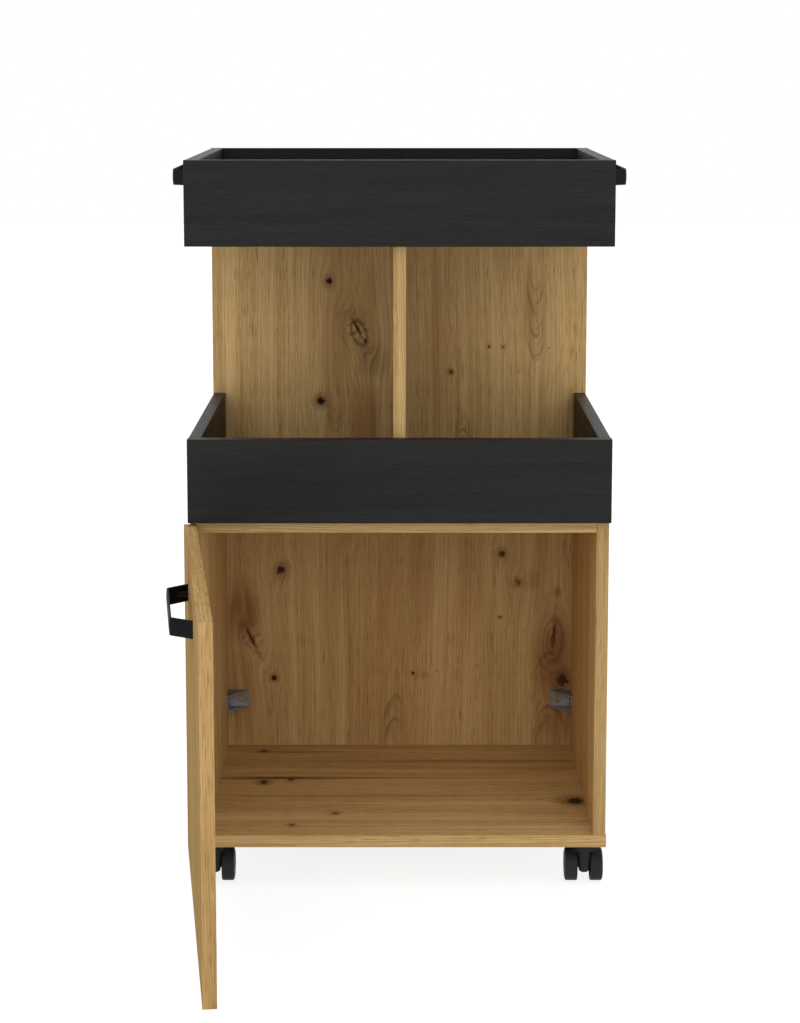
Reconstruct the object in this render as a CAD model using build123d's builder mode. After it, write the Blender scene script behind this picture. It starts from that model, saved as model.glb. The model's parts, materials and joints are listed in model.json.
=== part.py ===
"""Serving cart: a cabinet with one door on four castors, a tray on top of it, and a
tower of two boards that carries a second tray.

Millimetres, +Z up, +Y towards the back. The origin is on the floor, in the middle of the
cart with its door open as it rests: the door stands as far in front as the back does behind.
"""

import os
from collections import namedtuple
from math import cos, radians, sin

from build123d import *

os.makedirs("parts", exist_ok=True)

# Boards and overall sizes
cart_width = 500.0
cart_depth = 411.0
board = 15.0
tray_floor = 12.0
castor_height = 54.0
cabinet_height = 403.0
tray_height = 100.0
tower_gap = 226.5
front_setback = 18.0
side_inset = 1.0
edge_break = 0.5

# Door, with the turn at which it rests and the seat of its hinge pins
door_side_reveal = 2.0
door_top_gap = 4.0
door_bottom_reveal = 2.5
door_gap = 3.0
door_turn = 83.2
pivot_inset = 4.5
pivot_depth = 3.0

# Strap handles
grip_length = 140.0
strap_foot_span = 180.0
strap_reach = 26.6
strap_width = 19.4
strap_thickness = 3.0
strap_crown = 0.7
strap_bend = 6.0
boss_radius = 3.4
boss_spacing = 160.0
tray_handle_drop = 25.4
door_handle_drop = 46.5

# Hinges: a cup let into the door and a curved arm on the cabinet's left side
hinge_pin_radius = 1.1
arm_width = 14.0
arm_thickness = 2.0
arm_eye_radius = 2.0
arm_length = 50.0
arm_bend = 2.2
cup_radius = 17.5
cup_wall = 0.6
cup_depth = 8.8
cup_neck_wall = 1.2
cup_neck_inset = 1.6
cup_flange = 1.0
cup_flange_width = 23.0
cup_flange_span = 57.0
cup_screw_span = 48.0
hinge_plate_length = 34.0
hinge_plate_height = 36.0
hinge_plate_thickness = 2.0
hinge_plate_setback = 8.0
hinge_screw_span = 25.0

# Corner brackets at the back of the cabinet
bracket_back_leg = 28.0
bracket_side_leg = 34.0
bracket_height = 25.0
bracket_climb = 3.5
bracket_sheet = 2.2
bracket_rise = 53.5
bracket_slot_place = 17.3
bracket_slot_length = 11.0
bracket_slot_width = 5.0

# Castors: twin wheels behind a swivel stem
wheel_radius = 20.0
castor_width = 46.2
wheel_gap = 15.8
castor_trail = 14.0
castor_side_inset = 24.5
castor_edge_inset = 25.0
castor_plate = 38.0
castor_plate_thickness = 2.5
castor_plate_corner = 4.0
castor_screw_span = 27.0
stem_radius = 4.0
stem_reach = 30.0
swivel_race_radius = 17.0
swivel_race_thickness = 2.0
swivel_neck_radius = 11.0
swivel_gap = 0.4
axle_radius = 2.0
axle_end_cover = 3.0
hood_clearance = 2.6
hood_thickness = 2.0
hood_width = 31.4
hood_crown = 1.6
hood_front_reach = 10.0
hood_front_sweep = 6.0
hood_skirt = 4.0
post_radius = 7.0
post_taper = 1.0
post_foot_height = 15.0
post_foot_round = 4.0
web_thickness = 9.0
web_radius = 9.0
tyre_round = 1.0
wheel_dome = 1.8
wheel_cap_radius = 16.8
wheel_recess_radius = 16.0
wheel_recess_depth = 8.0
wheel_hub_radius = 4.5

# Fits
running_gap = 0.05
fastener_gap = 0.1
seat_gap = 0.3
cut_overrun = 1.0

# Fasteners
Screw = namedtuple("Screw", "head_radius head_height shank_radius length")
board_screw = Screw(head_radius=5.0, head_height=3.0, shank_radius=2.6, length=44.0)
edge_screw = Screw(head_radius=3.8, head_height=2.4, shank_radius=2.0, length=32.0)
ceiling_screw = Screw(head_radius=3.5, head_height=1.8, shank_radius=1.75, length=23.0)
fitting_screw = Screw(head_radius=3.0, head_height=1.6, shank_radius=1.5, length=11.0)
arm_screw = Screw(head_radius=3.0, head_height=1.6, shank_radius=1.6, length=3.8)
handle_screw = Screw(head_radius=4.0, head_height=2.2, shank_radius=1.9, length=23.0)
castor_screw = Screw(head_radius=3.4, head_height=1.8, shank_radius=1.7, length=12.0)
dowel_radius = 4.0
dowel_length = 30.0
dowel_in_face = 10.0
tray_dowel_radius = 3.0
tray_dowel_length = 26.0
tray_dowel_in_face = 9.0

# Places of fasteners and hinges along a board, as shares of the board's length
carcass_dowel_shares = (0.14, 0.84)
bottom_screw_shares = (0.24, 0.74)
back_screw_shares = (0.2, 0.8)
back_side_screw_shares = (0.4, 0.88)
hinge_shares = (0.27, 0.66)
divider_screw_shares = (0.22, 0.78)
divider_back_screw_shares = (0.12, 0.5, 0.88)
tray_corner_dowel_shares = (0.3, 0.8)
tray_front_dowel_shares = (0.1, 0.37, 0.63, 0.9)
tray_side_dowel_shares = (0.2, 0.8)

# Levels above the floor
cabinet_low = castor_height
cabinet_floor = cabinet_low + board
cabinet_top = cabinet_low + cabinet_height
lower_tray_top = cabinet_top + tray_height
upper_tray_low = lower_tray_top + tower_gap
upper_tray_top = upper_tray_low + tray_height

# The open door's reach sets the trays' front plane, so that the origin is in the middle
door_width = cart_width - 2 * door_side_reveal
door_low = cabinet_low + door_bottom_reveal
door_top = cabinet_top - door_top_gap
swing = radians(door_turn)
pivot_back = front_setback - door_gap - pivot_depth
door_reach = (door_width - pivot_inset) * sin(swing) + (board - pivot_depth) * cos(swing)
front_y = (door_reach - pivot_back - cart_depth) / 2

# Planes of the boards, left to right and front to back
half_width = cart_width / 2
side_out = half_width - side_inset
side_in = side_out - board
front_board_back = front_y + board
cabinet_front = front_y + front_setback
back_y = front_y + cart_depth
back_inner = back_y - board
cart_middle = (front_y + back_y) / 2

# The hinge pins' axis, and the door's own directions: along it, and out of its inner face
pivot_x = -half_width + door_side_reveal + pivot_inset
pivot_y = front_y + pivot_back
along_door = (cos(swing), -sin(swing), 0)
into_cabinet = (sin(swing), cos(swing), 0)
out_of_door = (-sin(swing), -cos(swing), 0)


def door_point(along, depth, height):
    """A point of the open door: along it from the pins, and in from them towards the cabinet."""
    x = pivot_x + along * along_door[0] + depth * into_cabinet[0]
    y = pivot_y + along * along_door[1] + depth * into_cabinet[1]
    return (x, y, height)


def between(low, high, shares):
    """Places at the given shares of the way from low to high."""
    return [low + (high - low) * share for share in shares]


def slab(x, y, z):
    """A board between two planes each way, with its edges broken."""
    with BuildSketch(Plane.XY.offset(z[0])) as plan:
        with Locations(((x[0] + x[1]) / 2, (y[0] + y[1]) / 2)):
            Rectangle(x[1] - x[0], y[1] - y[0])
    extrude(plan.sketch, amount=z[1] - z[0])
    chamfer(edges(), edge_break)


def drill(mouths, outward, radius, depth):
    """Blind holes, each from its mouth against the outward direction."""
    for mouth in mouths:
        with BuildSketch(Plane(origin=mouth, z_dir=outward)) as bore:
            Circle(radius)
        extrude(bore.sketch, amount=-depth, mode=Mode.SUBTRACT)


def pegs(mouths, outward, radius, length, inside):
    """Round pegs, each with a given length inside the face that its mouth is on."""
    for mouth in mouths:
        with BuildSketch(Plane(origin=mouth, z_dir=outward).offset(-inside)) as end:
            Circle(radius)
        extrude(end.sketch, amount=length)


def screws(seats, outward, screw):
    """Screws, each with its head outside its seat and its shank inside."""
    for seat in seats:
        face = Plane(origin=seat, z_dir=outward)
        with BuildSketch(face) as head:
            Circle(screw.head_radius)
        extrude(head.sketch, amount=screw.head_height)
        with BuildSketch(face) as shank:
            Circle(screw.shank_radius)
        extrude(shank.sketch, amount=-screw.length)


def sink(mouths, outward, screw, thickness):
    """Holes right through a board for screws whose heads lie flush in it."""
    drill(mouths, outward, screw.head_radius + fastener_gap, screw.head_height)
    drill(mouths, outward, screw.shank_radius + fastener_gap, thickness + cut_overrun)


def save(piece, name):
    """Label a finished piece and write its file."""
    piece.part.label = name
    export_step(piece.part, f"parts/{name}.step")


hinge_levels = between(door_low, door_top, hinge_shares)
up = (0, 0, 1)
down = (0, 0, -1)
forward = (0, -1, 0)
backward = (0, 1, 0)
left = (-1, 0, 0)
right = (1, 0, 0)
sides = {"left": -1, "right": 1}

# Where the carcass is joined
side_middle = (side_out + side_in) / 2
side_dowel_rows = between(cabinet_front, back_inner, carcass_dowel_shares)
bottom_screw_rows = between(cabinet_front, back_inner, bottom_screw_shares)
top_panel_middle = cabinet_top - board / 2
back_middle = (back_inner + back_y) / 2
foot_dowels = [(s * side_middle, y, cabinet_floor) for s in sides.values() for y in side_dowel_rows]
head_dowels = {
    s: [(s * side_in, y, top_panel_middle) for y in side_dowel_rows] for s in sides.values()
}
bottom_screw_places = [
    (s * side_middle, y, cabinet_low) for s in sides.values() for y in bottom_screw_rows
]
back_foot_places = [
    (x, back_middle, cabinet_low) for x in between(-side_in, side_in, back_screw_shares)
]
back_side_places = [
    (s * side_middle, back_y, z)
    for s in sides.values()
    for z in between(cabinet_floor, cabinet_top, back_side_screw_shares)
]
back_tray_places = [
    (s * side_middle, back_y, (cabinet_top + lower_tray_top) / 2) for s in sides.values()
]
back_top_places = [
    (x, back_y, top_panel_middle) for x in between(-side_in, side_in, back_screw_shares)
]
divider_low = cabinet_top + tray_floor
divider_back_places = [
    (0, back_y, z) for z in between(divider_low, upper_tray_low, divider_back_screw_shares)
]
divider_rows = between(cabinet_front, back_inner, divider_screw_shares)
divider_foot_places = [(0, y, cabinet_top - board) for y in divider_rows]
divider_head_places = [(0, y, upper_tray_low + tray_floor) for y in divider_rows]
ceiling_places = [
    (x, y, cabinet_top - board)
    for x in between(-side_in, side_in, back_screw_shares)
    for y in divider_rows
]
castor_hole = castor_screw_span / 2

# Castor swivel axes, and which way their wheels trail at rest
castors = {}
for side_name, s in sides.items():
    castor_x = s * (half_width - castor_side_inset)
    castors[f"front_{side_name}"] = (castor_x, cabinet_front + castor_edge_inset, 1)
    castors[f"rear_{side_name}"] = (castor_x, back_y - castor_edge_inset, -1)
castor_screw_places = [
    (x + i * castor_hole, y + j * castor_hole, cabinet_low)
    for x, y, trail_way in castors.values()
    for i in (-1, 1)
    for j in (-1, 1)
]

# Bottom panel: the sides and the back stand on it, the castors hang under it
with BuildPart() as bottom_panel:
    slab((-half_width, half_width), (cabinet_front, back_y), (cabinet_low, cabinet_floor))
    drill(foot_dowels, up, dowel_radius + fastener_gap, dowel_in_face)
    sink(bottom_screw_places + back_foot_places, down, board_screw, board)
    drill(castor_screw_places, down, castor_screw.shank_radius + fastener_gap, castor_screw.length)
save(bottom_panel, "bottom_panel")

# Fixing holes of the handles, the hinge plates and the brackets
handle_half = boss_spacing / 2
tray_handle_level = upper_tray_top - tray_handle_drop
tray_handle_rows = [cart_middle - handle_half, cart_middle + handle_half]
hinge_plate_front = cabinet_front + hinge_plate_setback
hinge_screw_y = hinge_plate_front + hinge_plate_length / 2
hinge_plate_seats = [
    (-side_in, hinge_screw_y, level + j * hinge_screw_span / 2)
    for level in hinge_levels
    for j in (-1, 1)
]
bracket_low = cabinet_floor + bracket_rise
bracket_top = bracket_low + bracket_height
bracket_middle = bracket_low + bracket_height / 2
bracket_screw_y = back_inner - bracket_slot_place

# Side panels, standing on the bottom panel
for side_name, s in sides.items():
    outer_inner = sorted((s * side_out, s * side_in))
    inward = (-s, 0, 0)
    with BuildPart() as side_panel:
        slab(outer_inner, (cabinet_front, back_inner), (cabinet_floor, cabinet_top))
        feet = [place for place in foot_dowels if place[0] * s > 0]
        drill(feet, down, dowel_radius + fastener_gap, dowel_length - dowel_in_face + cut_overrun)
        drill(head_dowels[s], inward, dowel_radius + fastener_gap, dowel_in_face)
        feet = [(x, y, cabinet_floor) for x, y, z in bottom_screw_places if x * s > 0]
        drill(feet, down, board_screw.shank_radius + fastener_gap, board_screw.length)
        backs = [(x, back_inner, z) for x, y, z in back_side_places if x * s > 0]
        drill(backs, backward, board_screw.shank_radius + fastener_gap, board_screw.length)
        brace = [(s * side_in, bracket_screw_y, bracket_middle)]
        drill(brace, inward, fitting_screw.shank_radius + fastener_gap, fitting_screw.length)
        if side_name == "left":
            drill(hinge_plate_seats, inward, fitting_screw.shank_radius + fastener_gap,
                  fitting_screw.length)
    save(side_panel, f"{side_name}_side_panel")

# Top panel of the cabinet, between the sides
with BuildPart() as top_panel:
    slab((-side_in, side_in), (cabinet_front, back_inner), (cabinet_top - board, cabinet_top))
    for s in sides.values():
        drill(head_dowels[s], (s, 0, 0), dowel_radius + fastener_gap,
              dowel_length - dowel_in_face + cut_overrun)
    tops = [(x, back_inner, z) for x, y, z in back_top_places]
    drill(tops, backward, board_screw.shank_radius + fastener_gap, board_screw.length)
    sink(divider_foot_places, down, board_screw, board)
    drill(ceiling_places, down, ceiling_screw.shank_radius + fastener_gap, board + cut_overrun)
save(top_panel, "top_panel")

# Back panel: one tall board from the bottom panel to the upper tray
back_head_dowels = [
    (x, back_middle, upper_tray_low)
    for x in between(-half_width, half_width, tray_front_dowel_shares)
]
with BuildPart() as back_panel:
    slab((-half_width, half_width), (back_inner, back_y), (cabinet_floor, upper_tray_low))
    sink(back_side_places + back_tray_places + back_top_places + divider_back_places,
         backward, board_screw, board)
    feet = [(x, y, cabinet_floor) for x, y, z in back_foot_places]
    drill(feet, down, board_screw.shank_radius + fastener_gap, board_screw.length)
    drill(back_head_dowels, up, tray_dowel_radius + fastener_gap,
          tray_dowel_length - tray_dowel_in_face)
save(back_panel, "back_panel")

# Divider: stands on the lower tray's floor and carries the upper tray
with BuildPart() as divider_panel:
    slab((-board / 2, board / 2), (cabinet_front, back_inner), (divider_low, upper_tray_low))
    backs = [(x, back_inner, z) for x, y, z in divider_back_places]
    drill(backs, backward, board_screw.shank_radius + fastener_gap, board_screw.length)
    feet = [(x, y, divider_low) for x, y, z in divider_foot_places]
    drill(feet, down, board_screw.shank_radius + fastener_gap, board_screw.length)
    heads = [(x, y, upper_tray_low) for x, y, z in divider_head_places]
    drill(heads, up, board_screw.shank_radius + fastener_gap, board_screw.length)
save(divider_panel, "divider_panel")

# Trays: a front board over the side boards' ends, and a floor inside.
# The lower tray leans on the back panel, the upper one has a back board of its own.
tray_levels = {"lower": cabinet_top, "upper": upper_tray_low}
tray_half_hole = tray_dowel_radius + fastener_gap
tray_end_hole = tray_dowel_length - tray_dowel_in_face + cut_overrun
for tray_name, tray_low in tray_levels.items():
    tray_top = tray_low + tray_height
    floor_middle = tray_low + tray_floor / 2
    is_upper = tray_name == "upper"
    corner_levels = between(tray_low, tray_top, tray_corner_dowel_shares)
    front_corners = [
        (s * side_middle, front_board_back, z) for s in sides.values() for z in corner_levels
    ]
    back_corners = [(x, back_inner, z) for x, y, z in front_corners]
    floor_fronts = [
        (x, front_board_back, floor_middle)
        for x in between(-side_in, side_in, tray_front_dowel_shares)
    ]
    floor_backs = [(x, back_inner, z) for x, y, z in floor_fronts]
    floor_rows = between(front_board_back, back_inner, tray_side_dowel_shares)
    floor_sides = {s: [(s * side_in, y, floor_middle) for y in floor_rows] for s in sides.values()}

    with BuildPart() as tray_front:
        slab((-half_width, half_width), (front_y, front_board_back), (tray_low, tray_top))
        drill(front_corners + floor_fronts, backward, tray_half_hole, tray_dowel_in_face)
    save(tray_front, f"{tray_name}_tray_front_board")

    for side_name, s in sides.items():
        outer_inner = sorted((s * side_out, s * side_in))
        with BuildPart() as tray_side:
            slab(outer_inner, (front_board_back, back_inner), (tray_low, tray_top))
            fronts = [place for place in front_corners if place[0] * s > 0]
            drill(fronts, forward, tray_half_hole, tray_end_hole)
            drill(floor_sides[s], (-s, 0, 0), tray_half_hole, tray_dowel_in_face)
            if is_upper:
                backs = [place for place in back_corners if place[0] * s > 0]
                drill(backs, backward, tray_half_hole, tray_end_hole)
                holes = [(s * side_out, y, tray_handle_level) for y in tray_handle_rows]
                drill(holes, (s, 0, 0), handle_screw.shank_radius + fastener_gap,
                      board + cut_overrun)
            else:
                backs = [(x, back_inner, z) for x, y, z in back_tray_places if x * s > 0]
                drill(backs, backward, board_screw.shank_radius + fastener_gap,
                      board_screw.length)
        save(tray_side, f"{tray_name}_tray_{side_name}_board")

    with BuildPart() as tray_bottom:
        slab((-side_in, side_in), (front_board_back, back_inner), (tray_low, tray_low + tray_floor))
        drill(floor_fronts, forward, tray_half_hole, tray_end_hole)
        for s in sides.values():
            drill(floor_sides[s], (s, 0, 0), tray_half_hole, tray_end_hole)
        if is_upper:
            drill(floor_backs, backward, tray_half_hole, tray_end_hole)
            sink(divider_head_places, up, board_screw, tray_floor)
        else:
            feet = [(x, y, tray_low) for x, y, z in divider_foot_places]
            drill(feet, down, board_screw.shank_radius + fastener_gap, tray_floor + cut_overrun)
            feet = [(x, y, tray_low) for x, y, z in ceiling_places]
            drill(feet, down, ceiling_screw.shank_radius + fastener_gap,
                  ceiling_screw.length - board + fastener_gap)
    save(tray_bottom, f"{tray_name}_tray_floor")

    with BuildPart() as tray_dowels:
        tray_peg = (tray_dowel_radius, tray_dowel_length)
        pegs(front_corners + floor_fronts, backward, *tray_peg, tray_dowel_in_face)
        for s in sides.values():
            pegs(floor_sides[s], (s, 0, 0), *tray_peg, tray_dowel_length - tray_dowel_in_face)
        if is_upper:
            pegs(back_corners + floor_backs, forward, *tray_peg, tray_dowel_in_face)
            pegs(back_head_dowels, up, *tray_peg, tray_dowel_length - tray_dowel_in_face)
    save(tray_dowels, f"{tray_name}_tray_dowels")

with BuildPart() as upper_tray_back_board:
    slab((-half_width, half_width), (back_inner, back_y), (upper_tray_low, upper_tray_top))
    drill(back_corners + floor_backs, forward, tray_half_hole, tray_dowel_in_face)
    drill(back_head_dowels, down, tray_half_hole, tray_dowel_in_face)
save(upper_tray_back_board, "upper_tray_back_board")

# Dowels and screws of the carcass
with BuildPart() as carcass_dowels:
    pegs(foot_dowels, up, dowel_radius, dowel_length, dowel_in_face)
    for s in sides.values():
        pegs(head_dowels[s], (-s, 0, 0), dowel_radius, dowel_length, dowel_in_face)
save(carcass_dowels, "carcass_dowels")

with BuildPart() as bottom_panel_screws:
    sunk = [(x, y, z + board_screw.head_height) for x, y, z in bottom_screw_places + back_foot_places]
    screws(sunk, down, board_screw)
save(bottom_panel_screws, "bottom_panel_screws")

with BuildPart() as back_panel_screws:
    rear_places = back_side_places + back_tray_places + back_top_places + divider_back_places
    screws([(x, y - board_screw.head_height, z) for x, y, z in rear_places], backward, board_screw)
save(back_panel_screws, "back_panel_screws")

with BuildPart() as divider_screws:
    sunk = [(x, y, z + board_screw.head_height) for x, y, z in divider_foot_places]
    screws(sunk, down, board_screw)
    sunk = [(x, y, z - board_screw.head_height) for x, y, z in divider_head_places]
    screws(sunk, up, board_screw)
save(divider_screws, "divider_screws")

with BuildPart() as tray_floor_screws:
    screws(ceiling_places, down, ceiling_screw)
save(tray_floor_screws, "tray_floor_screws")


def strap_handle(seat):
    """A flat strap bent to a low bow on a seat plane: X along it, Z out of the board."""
    outward = seat.z_dir
    side_view = Plane(origin=seat.origin, x_dir=seat.x_dir, z_dir=seat.x_dir.cross(outward))
    foot = strap_foot_span / 2
    grip = grip_length / 2
    middle = strap_thickness / 2
    lean = (foot - grip) / strap_reach
    with BuildPart() as handle:
        for end in (-1, 1):
            boss = Plane(origin=seat.from_local_coords((end * handle_half, 0, 0)), z_dir=outward)
            with BuildSketch(boss):
                Circle(boss_radius)
            extrude(amount=strap_reach)
        with BuildSketch(side_view):
            Polygon((-foot, 0), (-grip, strap_reach - middle), (grip, strap_reach - middle),
                    (foot, 0), align=None)
        extrude(amount=boss_radius, both=True, mode=Mode.INTERSECT)
        with BuildLine(side_view) as bow:
            FilletPolyline(
                (-foot - lean * middle, -middle),
                (-grip, strap_reach - middle),
                (grip, strap_reach - middle),
                (foot + lean * middle, -middle),
                radius=strap_bend,
            )
        start = bow.line @ 0
        section = Plane(origin=start, x_dir=seat.y_dir, z_dir=bow.line % 0)
        crown_side = 1 if section.y_dir.dot(outward) > 0 else -1
        with BuildSketch(section):
            with BuildLine():
                half = strap_width / 2
                inner = -crown_side * middle
                outer = crown_side * (middle - strap_crown)
                Polyline((half, outer), (half, inner), (-half, inner), (-half, outer))
                ThreePointArc((-half, outer), (0, crown_side * middle), (half, outer))
            make_face()
        sweep(path=bow.line)
        split(bisect_by=seat, keep=Keep.TOP)
        bores = [seat.from_local_coords((end * handle_half, 0, 0)) for end in (-1, 1)]
        drill(bores, -outward, handle_screw.shank_radius + running_gap,
              handle_screw.length - board + fastener_gap)
    return handle


# Handles: one on each end of the upper tray, one near the top of the door
for side_name, s in sides.items():
    end_face = Plane(origin=(s * side_out, cart_middle, tray_handle_level),
                     x_dir=(0, 1, 0), z_dir=(s, 0, 0))
    save(strap_handle(end_face), f"{side_name}_tray_handle")

door_middle = door_width / 2 - pivot_inset
door_handle_level = door_top - door_handle_drop
outer_skin = pivot_depth - board
door_seat = Plane(origin=door_point(door_middle, outer_skin, door_handle_level),
                  x_dir=along_door, z_dir=out_of_door)
save(strap_handle(door_seat), "door_handle")

with BuildPart() as tray_handle_screws:
    for s in sides.values():
        seats = [(s * side_in, y, tray_handle_level) for y in tray_handle_rows]
        screws(seats, (-s, 0, 0), handle_screw)
save(tray_handle_screws, "tray_handle_screws")

door_handle_seats = [
    door_point(door_middle + end * handle_half, pivot_depth, door_handle_level) for end in (-1, 1)
]
with BuildPart() as door_handle_screws:
    screws(door_handle_seats, into_cabinet, handle_screw)
save(door_handle_screws, "door_handle_screws")

# Door: a full overlay board, with pockets for the hinge cups in its inner face
cup_along = cup_radius + cup_neck_inset - pivot_inset
neck_half = arm_width / 2 + seat_gap + cup_neck_wall
cup_screw_along = cup_along + cup_flange_width / 4


def cup_outline(level, inset):
    """The cup's plan on the door's inner face: a circle with a square neck to the hinge edge."""
    face = Plane(origin=door_point(cup_along, pivot_depth, level), x_dir=along_door,
                 z_dir=into_cabinet)
    with BuildSketch(face) as outline:
        Circle(cup_radius - inset)
        with Locations(((inset - cup_radius) / 2, 0)):
            Rectangle(cup_radius - inset, 2 * (neck_half - inset))
    return outline.sketch


door_slab = Plane(origin=door_point(door_middle, pivot_depth - board / 2, door_low),
                  x_dir=along_door, z_dir=up)
cup_screw_seats = [
    door_point(cup_screw_along, pivot_depth, level + j * cup_screw_span / 2)
    for level in hinge_levels
    for j in (-1, 1)
]
with BuildPart() as door_panel:
    with BuildSketch(door_slab):
        Rectangle(door_width, board)
    extrude(amount=door_top - door_low)
    chamfer(edges(), edge_break)
    for level in hinge_levels:
        extrude(cup_outline(level, -fastener_gap), amount=-cup_depth - fastener_gap,
                mode=Mode.SUBTRACT)
    drill(cup_screw_seats, into_cabinet, fitting_screw.shank_radius + fastener_gap,
          fitting_screw.length)
    drill(door_handle_seats, into_cabinet, handle_screw.shank_radius + fastener_gap,
          board + cut_overrun)
save(door_panel, "door_panel")

# Hinges
hinge_names = ("lower", "upper")
arm_out = -side_in + hinge_plate_thickness
arm_centre_x = arm_out + arm_thickness / 2
for hinge_name, level in zip(hinge_names, hinge_levels):
    with BuildPart() as hinge_cup:
        extrude(cup_outline(level, 0), amount=-cup_depth)
        flange_face = Plane(origin=door_point(cup_along, pivot_depth, level), x_dir=along_door,
                            z_dir=into_cabinet)
        with BuildSketch(flange_face):
            with Locations((cup_radius / 4, 0)):
                RectangleRounded(cup_flange_width, cup_flange_span, cup_flange_width / 3)
            Circle(cup_radius)
            with Locations((-cup_radius / 2, 0)):
                Rectangle(cup_radius, 2 * neck_half)
        extrude(amount=cup_flange)
        with BuildSketch(flange_face.offset(cup_flange)):
            Circle(cup_radius - cup_wall)
            with Locations(((cup_wall - cup_radius) / 2, 0)):
                Rectangle(cup_radius - cup_wall, 2 * (neck_half - cup_neck_wall))
        extrude(amount=cup_wall - cup_depth - cup_flange, mode=Mode.SUBTRACT)
        drill([door_point(0, 0, level + neck_half)], up, hinge_pin_radius + running_gap,
              2 * neck_half)
        flange_holes = [
            door_point(cup_screw_along, pivot_depth + cup_flange, level + j * cup_screw_span / 2)
            for j in (-1, 1)
        ]
        drill(flange_holes, into_cabinet, fitting_screw.shank_radius + fastener_gap,
              cup_flange + cut_overrun)
    save(hinge_cup, f"{hinge_name}_hinge_cup")

    with BuildPart() as hinge_arm:
        with BuildSketch(Plane.XY.offset(level - arm_width / 2)):
            with BuildLine():
                FilletPolyline(
                    (pivot_x, pivot_y),
                    (arm_centre_x, pivot_y),
                    (arm_centre_x, hinge_plate_front + arm_length - hinge_plate_setback),
                    radius=arm_bend,
                )
            trace(line_width=arm_thickness)
            with Locations((pivot_x, pivot_y)):
                Circle(arm_eye_radius)
                Circle(hinge_pin_radius + running_gap, mode=Mode.SUBTRACT)
        extrude(amount=arm_width)
        drill([(arm_out + arm_thickness, hinge_screw_y, level)], right,
              arm_screw.shank_radius + fastener_gap, arm_thickness + cut_overrun)
    save(hinge_arm, f"{hinge_name}_hinge_arm")

with BuildPart() as hinge_pins:
    for level in hinge_levels:
        with BuildSketch(Plane.XY.offset(level - neck_half)):
            with Locations((pivot_x, pivot_y)):
                Circle(hinge_pin_radius)
        extrude(amount=2 * neck_half)
save(hinge_pins, "hinge_pins")

with BuildPart() as hinge_plates:
    for level in hinge_levels:
        face = Plane(origin=(-side_in, hinge_screw_y, level), x_dir=(0, 1, 0), z_dir=right)
        with BuildSketch(face):
            RectangleRounded(hinge_plate_length, hinge_plate_height, hinge_plate_length / 4)
        extrude(amount=hinge_plate_thickness)
        centre = (arm_out, hinge_screw_y, level)
        drill([centre], right, arm_screw.shank_radius + fastener_gap,
              hinge_plate_thickness + cut_overrun)
    mouths = [(arm_out, y, z) for x, y, z in hinge_plate_seats]
    drill(mouths, right, fitting_screw.shank_radius + fastener_gap,
          hinge_plate_thickness + cut_overrun)
save(hinge_plates, "hinge_plates")

with BuildPart() as hinge_plate_screws:
    screws([(arm_out, y, z) for x, y, z in hinge_plate_seats], right, fitting_screw)
save(hinge_plate_screws, "hinge_plate_screws")

with BuildPart() as hinge_arm_screws:
    seats = [(arm_out + arm_thickness, hinge_screw_y, level) for level in hinge_levels]
    screws(seats, right, arm_screw)
save(hinge_arm_screws, "hinge_arm_screws")

with BuildPart() as hinge_cup_screws:
    seats = [
        door_point(cup_screw_along, pivot_depth + cup_flange, level + j * cup_screw_span / 2)
        for level in hinge_levels
        for j in (-1, 1)
    ]
    screws(seats, into_cabinet, fitting_screw)
save(hinge_cup_screws, "hinge_cup_screws")

# Corner brackets, pressed from sheet: two legs and a gusset above and below them.
# Both are the same pressing, so the right one is turned over and its slots change places.
for side_name, s in sides.items():
    corner = (s * side_in, back_inner)
    leg_end_x = s * (side_in - bracket_back_leg)
    leg_end_y = back_inner - bracket_side_leg
    front_cut = leg_end_y - cut_overrun
    inward = -s * (bracket_back_leg + cut_overrun)
    upright = 90 if side_name == "right" else 0
    with BuildPart() as bracket:
        with BuildSketch(Plane.XY.offset(bracket_low)):
            Polygon(corner, (leg_end_x, back_inner), (leg_end_x, back_inner - bracket_sheet),
                    (s * (side_in - bracket_sheet), leg_end_y), (s * side_in, leg_end_y),
                    align=None)
        extrude(amount=bracket_height)
        # Hollow between the gussets
        with BuildSketch(Plane.YZ.offset(s * (side_in - bracket_sheet))):
            Polygon((back_inner - bracket_sheet, bracket_low + bracket_sheet),
                    (back_inner - bracket_sheet, bracket_top - bracket_sheet),
                    (front_cut, bracket_top - bracket_sheet),
                    (front_cut, bracket_low + bracket_climb + bracket_sheet), align=None)
        extrude(amount=inward, mode=Mode.SUBTRACT)
        # The lower gusset climbs to the front
        with BuildSketch(Plane.YZ.offset(s * side_in)):
            Polygon((back_inner, bracket_low), (front_cut, bracket_low),
                    (front_cut, bracket_low + bracket_climb), align=None)
        extrude(amount=inward, mode=Mode.SUBTRACT)
        slot_x = s * (side_in - bracket_slot_place)
        back_leg = Plane(origin=(slot_x, back_inner, bracket_middle), x_dir=right, z_dir=forward)
        side_leg = Plane(origin=(s * side_in, bracket_screw_y, bracket_middle), x_dir=backward,
                         z_dir=(-s, 0, 0))
        for leg, turn in ((back_leg, upright), (side_leg, 90 - upright)):
            with BuildSketch(leg):
                SlotOverall(bracket_slot_length, bracket_slot_width, rotation=turn)
            extrude(amount=bracket_sheet + cut_overrun, mode=Mode.SUBTRACT)
    save(bracket, f"{side_name}_corner_bracket")

with BuildPart() as bracket_screws:
    for s in sides.values():
        seat = (s * (side_in - bracket_sheet), bracket_screw_y, bracket_middle)
        screws([seat], (-s, 0, 0), fitting_screw)
save(bracket_screws, "bracket_screws")

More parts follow.
